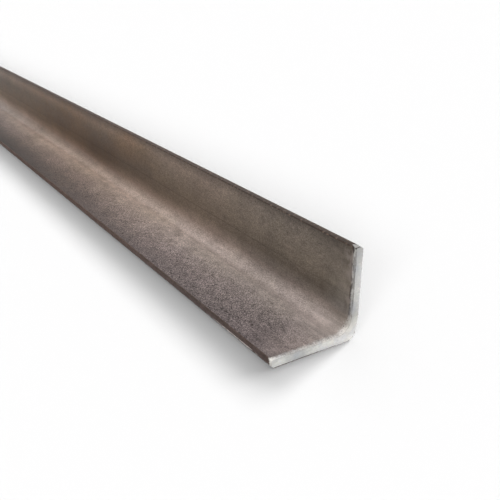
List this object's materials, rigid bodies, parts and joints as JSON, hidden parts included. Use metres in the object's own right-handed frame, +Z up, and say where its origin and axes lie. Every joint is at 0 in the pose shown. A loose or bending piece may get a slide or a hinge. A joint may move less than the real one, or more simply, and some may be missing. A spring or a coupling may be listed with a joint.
{
  "type": "metal angle section",
  "caption": "Length of hot-rolled steel angle with equal legs, rounded root, heel and toes, and deburred sawn ends.",
  "frame": {"origin": "On the floor plane, midway along the bar and midway across the foot leg", "axes": "+Y along the bar, away from the front sawn end; +X across the foot towards the upright leg; +Z up the upright leg"},
  "size_m": [0.03, 1, 0.03],
  "materials": {
    "rolled_steel": "dull pickled rolling skin, bright where sawn"
  },
  "bodies": {
    "root": {"angle_bar": "rolled_steel"}
  },
  "joints": []
}
